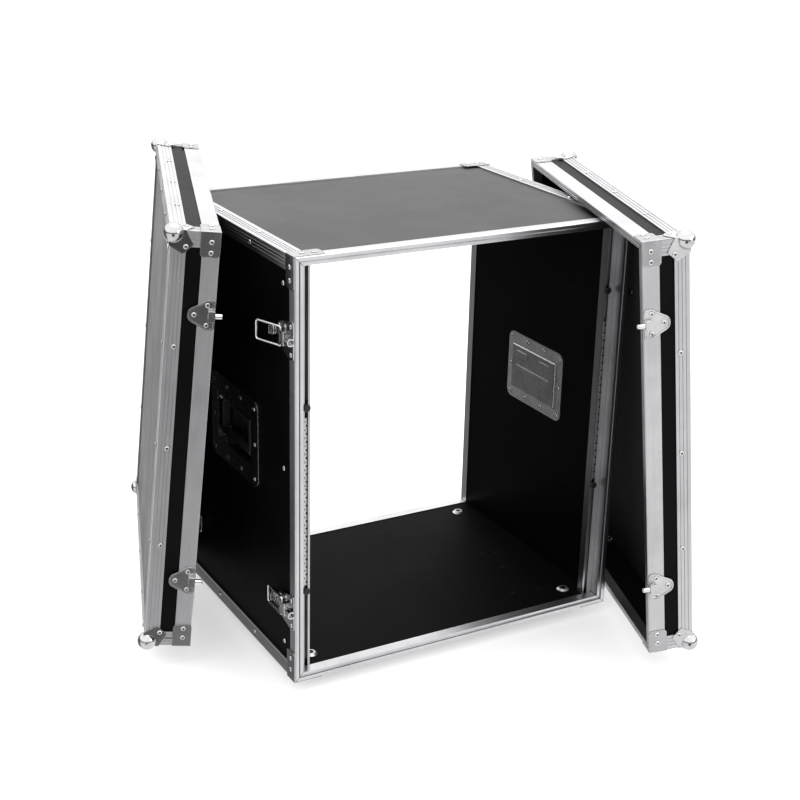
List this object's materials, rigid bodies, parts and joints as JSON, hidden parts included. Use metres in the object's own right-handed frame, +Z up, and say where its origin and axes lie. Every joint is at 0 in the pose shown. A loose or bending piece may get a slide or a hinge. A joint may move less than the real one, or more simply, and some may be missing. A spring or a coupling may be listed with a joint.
{
  "type": "equipment rack case",
  "caption": "Tall portable rack case with an open front-to-back bay, slotted rack rails, side handles, butterfly latches and two lift-off covers leaning on it.",
  "frame": {"origin": "on the floor, below the centre of the case body", "axes": "+Z up, front opening faces -Y, +X to the right seen from the front"},
  "size_m": [0.8541, 0.8476, 0.6448],
  "materials": {
    "black_laminate": "black phenolic laminate on ply, semi-matt",
    "aluminium": "extruded, satin",
    "plated_steel": "bright nickel plate",
    "zinc_steel": "zinc plate",
    "rubber": "moulded rubber",
    "black_grip": "moulded, satin",
    "black_steel": "black oxide"
  },
  "bodies": {
    "case": {"bottom_panel": "black_laminate", "case_rivets": "plated_steel", "corner_braces": "plated_steel", "cup_washers": "plated_steel", "edge_extrusions": "aluminium", "feet": "rubber", "foot_bolts": "plated_steel", "front_frame": "aluminium", "handle_backing_left": "zinc_steel", "handle_backing_right": "zinc_steel", "handle_dish_left": "plated_steel", "handle_dish_right": "plated_steel", "handle_pins": "plated_steel", "latch_plates": "plated_steel", "left_panel": "black_laminate", "nut_strip_left": "zinc_steel", "nut_strip_right": "zinc_steel", "rack_rail_left": "aluminium", "rack_rail_right": "aluminium", "rail_screws": "black_steel", "rear_frame": "aluminium", "right_panel": "black_laminate", "top_panel": "black_laminate"},
    "latch_loop_left_front_upper": {"latch_loop_left_front_upper": "plated_steel"},
    "latch_turn_left_front_upper": {"latch_turn_left_front_upper": "plated_steel"},
    "latch_loop_left_front_lower": {"latch_loop_left_front_lower": "plated_steel"},
    "latch_turn_left_front_lower": {"latch_turn_left_front_lower": "plated_steel"},
    "latch_loop_left_rear_upper": {"latch_loop_left_rear_upper": "plated_steel"},
    "latch_turn_left_rear_upper": {"latch_turn_left_rear_upper": "plated_steel"},
    "latch_loop_left_rear_lower": {"latch_loop_left_rear_lower": "plated_steel"},
    "latch_turn_left_rear_lower": {"latch_turn_left_rear_lower": "plated_steel"},
    "latch_loop_right_front_upper": {"latch_loop_right_front_upper": "plated_steel"},
    "latch_turn_right_front_upper": {"latch_turn_right_front_upper": "plated_steel"},
    "latch_loop_right_front_lower": {"latch_loop_right_front_lower": "plated_steel"},
    "latch_turn_right_front_lower": {"latch_turn_right_front_lower": "plated_steel"},
    "latch_loop_right_rear_upper": {"latch_loop_right_rear_upper": "plated_steel"},
    "latch_turn_right_rear_upper": {"latch_turn_right_rear_upper": "plated_steel"},
    "latch_loop_right_rear_lower": {"latch_loop_right_rear_lower": "plated_steel"},
    "latch_turn_right_rear_lower": {"latch_turn_right_rear_lower": "plated_steel"},
    "handle_grip_left": {"handle_grip_left": "black_grip"},
    "cover_left": {"cover_left_ball_corners": "plated_steel", "cover_left_dowel_pins": "plated_steel", "cover_left_edge_extrusions": "aluminium", "cover_left_latch_keepers": "plated_steel", "cover_left_panel": "black_laminate", "cover_left_rim_braces": "plated_steel", "cover_left_rim_extrusions": "aluminium", "cover_left_rivets": "plated_steel", "cover_left_walls": "black_laminate"},
    "handle_grip_right": {"handle_grip_right": "black_grip"},
    "cover_right": {"cover_right_ball_corners": "plated_steel", "cover_right_dowel_pins": "plated_steel", "cover_right_edge_extrusions": "aluminium", "cover_right_latch_keepers": "plated_steel", "cover_right_panel": "black_laminate", "cover_right_rim_braces": "plated_steel", "cover_right_rim_extrusions": "aluminium", "cover_right_rivets": "plated_steel", "cover_right_walls": "black_laminate"}
  },
  "joints": [
    {"name": "loop_swing_left_front_upper", "type": "hinge", "parent": "case", "child": "latch_loop_left_front_upper", "pos_m": [-0.2605, -0.165, 0.501], "axis": [0, 0, 1], "range_deg": [-19, 158]},
    {"name": "turn_left_front_upper", "type": "hinge", "parent": "case", "child": "latch_turn_left_front_upper", "pos_m": [-0.256, -0.134, 0.501], "axis": [-1, 0, 0], "range_deg": [0, 180]},
    {"name": "loop_swing_left_front_lower", "type": "hinge", "parent": "case", "child": "latch_loop_left_front_lower", "pos_m": [-0.2605, -0.165, 0.12], "axis": [0, 0, 1], "range_deg": [0, 178]},
    {"name": "turn_left_front_lower", "type": "hinge", "parent": "case", "child": "latch_turn_left_front_lower", "pos_m": [-0.256, -0.134, 0.12], "axis": [-1, 0, 0], "range_deg": [0, 180]},
    {"name": "loop_swing_left_rear_upper", "type": "hinge", "parent": "case", "child": "latch_loop_left_rear_upper", "pos_m": [-0.2605, 0.165, 0.501], "axis": [0, 0, -1], "range_deg": [0, 34]},
    {"name": "turn_left_rear_upper", "type": "hinge", "parent": "case", "child": "latch_turn_left_rear_upper", "pos_m": [-0.256, 0.134, 0.501], "axis": [-1, 0, 0], "range_deg": [0, 180]},
    {"name": "loop_swing_left_rear_lower", "type": "hinge", "parent": "case", "child": "latch_loop_left_rear_lower", "pos_m": [-0.2605, 0.165, 0.12], "axis": [0, 0, -1], "range_deg": [0, 178]},
    {"name": "turn_left_rear_lower", "type": "hinge", "parent": "case", "child": "latch_turn_left_rear_lower", "pos_m": [-0.256, 0.134, 0.12], "axis": [-1, 0, 0], "range_deg": [0, 180]},
    {"name": "loop_swing_right_front_upper", "type": "hinge", "parent": "case", "child": "latch_loop_right_front_upper", "pos_m": [0.2605, -0.165, 0.501], "axis": [0, 0, -1], "range_deg": [0, 22]},
    {"name": "turn_right_front_upper", "type": "hinge", "parent": "case", "child": "latch_turn_right_front_upper", "pos_m": [0.256, -0.134, 0.501], "axis": [1, 0, 0], "range_deg": [0, 180]},
    {"name": "loop_swing_right_front_lower", "type": "hinge", "parent": "case", "child": "latch_loop_right_front_lower", "pos_m": [0.2605, -0.165, 0.12], "axis": [0, 0, -1], "range_deg": [0, 178]},
    {"name": "turn_right_front_lower", "type": "hinge", "parent": "case", "child": "latch_turn_right_front_lower", "pos_m": [0.256, -0.134, 0.12], "axis": [1, 0, 0], "range_deg": [0, 180]},
    {"name": "loop_swing_right_rear_upper", "type": "hinge", "parent": "case", "child": "latch_loop_right_rear_upper", "pos_m": [0.2605, 0.165, 0.501], "axis": [0, 0, 1], "range_deg": [0, 178]},
    {"name": "turn_right_rear_upper", "type": "hinge", "parent": "case", "child": "latch_turn_right_rear_upper", "pos_m": [0.256, 0.134, 0.501], "axis": [1, 0, 0], "range_deg": [0, 180]},
    {"name": "loop_swing_right_rear_lower", "type": "hinge", "parent": "case", "child": "latch_loop_right_rear_lower", "pos_m": [0.2605, 0.165, 0.12], "axis": [0, 0, 1], "range_deg": [0, 178]},
    {"name": "turn_right_rear_lower", "type": "hinge", "parent": "case", "child": "latch_turn_right_rear_lower", "pos_m": [0.256, 0.134, 0.12], "axis": [1, 0, 0], "range_deg": [0, 180]},
    {"name": "grip_swing_left", "type": "hinge", "parent": "case", "child": "handle_grip_left", "pos_m": [-0.249, 0, 0.342], "axis": [0, 1, 0], "range_deg": [0, 90], "stiffness_Nm_per_rad": 0.25},
    {"name": "cover_lift_off_left", "type": "slide", "parent": "case", "child": "cover_left", "axis": [-0.9478, 0.3187, 0], "range_m": [0, 0.3]},
    {"name": "grip_swing_right", "type": "hinge", "parent": "case", "child": "handle_grip_right", "pos_m": [0.249, 0, 0.342], "axis": [0, -1, 0], "range_deg": [0, 90], "stiffness_Nm_per_rad": 0.25},
    {"name": "cover_lift_off_right", "type": "slide", "parent": "case", "child": "cover_right", "axis": [0.95, -0.3123, 0], "range_m": [0, 0.3]}
  ]
}
